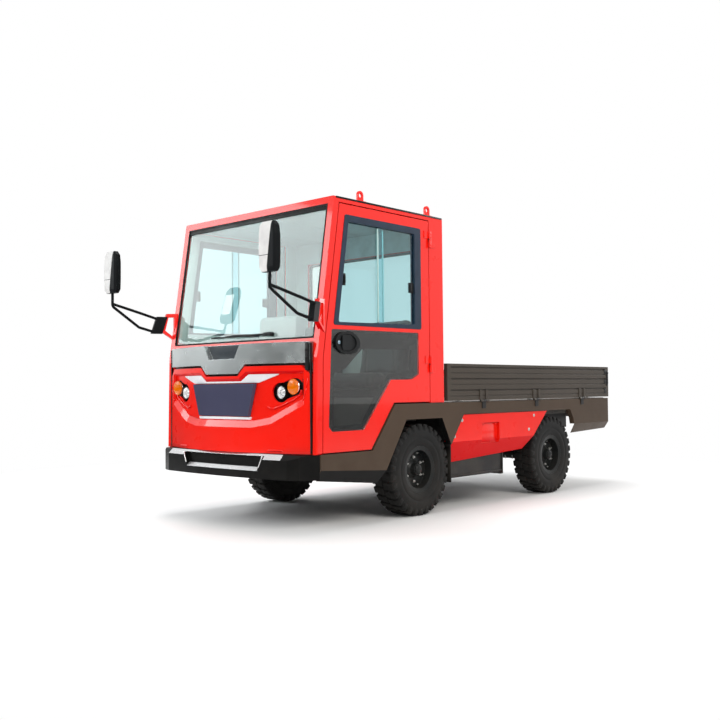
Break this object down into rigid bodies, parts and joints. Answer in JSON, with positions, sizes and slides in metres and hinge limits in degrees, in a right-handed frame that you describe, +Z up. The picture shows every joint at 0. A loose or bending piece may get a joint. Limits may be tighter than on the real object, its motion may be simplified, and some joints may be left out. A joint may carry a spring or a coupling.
{
  "type": "electric platform truck",
  "caption": "Electric platform truck with a red two-door steel cab, dark side skirts, a dropside load bed, arm mirrors and small block-tread wheels.",
  "frame": {"origin": "on the ground, in the middle of the truck's overall length and width", "axes": "+X to the truck's left, +Y to its rear, +Z up; the cab faces -Y"},
  "size_m": [1.64, 3.915, 2.0129],
  "materials": {
    "red_paint": "gloss",
    "dark_paint": "satin",
    "black_paint": "satin",
    "wheel_paint": "satin",
    "tyre": "matte",
    "gloss_black": "gloss",
    "glass": "clear, pale green",
    "mirror": "polished",
    "clear_lens": "clear",
    "amber_lens": "gloss",
    "red_lens": "gloss",
    "seat_cover": "grained vinyl",
    "deck_steel": "satin",
    "floor_paint": "satin",
    "black_plastic": "matte"
  },
  "bodies": {
    "chassis": {"battery_box": "black_paint", "battery_panel_left": "red_paint", "battery_panel_right": "red_paint", "bed_deck": "deck_steel", "bumper": "gloss_black", "cab_floor": "floor_paint", "centre_plate": "gloss_black", "chassis_frame": "black_paint", "cowl": "gloss_black", "cross_rails": "red_paint", "dashboard": "black_plastic", "door_hinges": "red_paint", "fascia": "red_paint", "front_axle": "black_paint", "front_indicators": "amber_lens", "gate_hinges": "dark_paint", "headboard": "dark_paint", "headlamps": "clear_lens", "leaf_springs": "black_paint", "lifting_eyes": "red_paint", "mirror_brackets": "red_paint", "mirror_glasses": "mirror", "mirrors": "black_plastic", "rear_axle": "black_paint", "rear_wall": "red_paint", "rear_window": "glass", "roof_panel": "red_paint", "seats": "seat_cover", "side_frame_left": "red_paint", "side_frame_right": "red_paint", "skirt_left": "dark_paint", "skirt_right": "dark_paint", "tail_lamps": "red_lens", "tow_jaw": "black_paint", "windscreen": "glass", "wiper": "black_plastic"},
    "knuckle_left": {"knuckle_left": "black_paint"},
    "knuckle_right": {"knuckle_right": "black_paint"},
    "tie_rod": {"tie_rod": "black_paint"},
    "wheel_front_left": {"rim_front_left": "wheel_paint", "tyre_front_left": "tyre"},
    "wheel_front_right": {"rim_front_right": "wheel_paint", "tyre_front_right": "tyre"},
    "wheel_rear_left": {"rim_rear_left": "wheel_paint", "tyre_rear_left": "tyre"},
    "wheel_rear_right": {"rim_rear_right": "wheel_paint", "tyre_rear_right": "tyre"},
    "steering_wheel": {"steering_wheel": "black_plastic"},
    "door_left": {"door_left_glass": "glass", "door_left_handle": "black_plastic", "door_left_shell": "red_paint", "door_left_window_frame": "black_plastic"},
    "door_right": {"door_right_glass": "glass", "door_right_handle": "black_plastic", "door_right_shell": "red_paint", "door_right_window_frame": "black_plastic"},
    "dropside_left": {"dropside_left": "dark_paint"},
    "dropside_right": {"dropside_right": "dark_paint"},
    "tailgate": {"tailgate": "dark_paint"}
  },
  "joints": [
    {"name": "steer_left", "type": "hinge", "parent": "chassis", "child": "knuckle_left", "pos_m": [0.505, -0.582, 0.295], "axis": [0, 0, 1], "range_deg": [-30, 30]},
    {"name": "steer_right", "type": "hinge", "parent": "chassis", "child": "knuckle_right", "pos_m": [-0.505, -0.582, 0.295], "axis": [0, 0, 1], "range_deg": [-30, 30]},
    {"name": "tie_rod_swing", "type": "hinge", "parent": "knuckle_left", "child": "tie_rod", "pos_m": [0.505, -0.442, 0.237], "axis": [0, 0, 1], "range_deg": [-30, 30]},
    {"name": "steering_wheel_turn", "type": "hinge", "parent": "chassis", "child": "steering_wheel", "pos_m": [0.33, -1.142, 1.04], "axis": [0, 0.3419, 0.9397], "range_deg": [-180, 180]},
    {"name": "spin_front_left", "type": "hinge", "parent": "knuckle_left", "child": "wheel_front_left", "pos_m": [0.6125, -0.582, 0.295], "axis": [1, 0, 0], "continuous": true},
    {"name": "spin_front_right", "type": "hinge", "parent": "knuckle_right", "child": "wheel_front_right", "pos_m": [-0.6125, -0.582, 0.295], "axis": [1, 0, 0], "continuous": true},
    {"name": "spin_rear_left", "type": "hinge", "parent": "chassis", "child": "wheel_rear_left", "pos_m": [0.6125, 1.038, 0.295], "axis": [1, 0, 0], "continuous": true},
    {"name": "spin_rear_right", "type": "hinge", "parent": "chassis", "child": "wheel_rear_right", "pos_m": [-0.6125, 1.038, 0.295], "axis": [1, 0, 0], "continuous": true},
    {"name": "door_left_swing", "type": "hinge", "parent": "chassis", "child": "door_left", "pos_m": [0.715, -0.487, 1.38], "axis": [0, 0, 1], "range_deg": [0, 80]},
    {"name": "door_right_swing", "type": "hinge", "parent": "chassis", "child": "door_right", "pos_m": [-0.715, -0.487, 1.38], "axis": [0, 0, -1], "range_deg": [0, 80]},
    {"name": "dropside_left_drop", "type": "hinge", "parent": "chassis", "child": "dropside_left", "pos_m": [0.723, 0.798, 0.726], "axis": [0, 1, 0], "range_deg": [0, 180]},
    {"name": "dropside_right_drop", "type": "hinge", "parent": "chassis", "child": "dropside_right", "pos_m": [-0.723, 0.798, 0.726], "axis": [0, -1, 0], "range_deg": [0, 180]},
    {"name": "tailgate_drop", "type": "hinge", "parent": "chassis", "child": "tailgate", "pos_m": [0, 1.958, 0.726], "axis": [-1, 0, 0], "range_deg": [0, 180]}
  ],
  "couplings": [
    {"joint": "steer_right", "follows": "steer_left", "ratio": 1},
    {"joint": "tie_rod_swing", "follows": "steer_left", "ratio": -1},
    {"joint": "steering_wheel_turn", "follows": "steer_left", "ratio": 6}
  ]
}
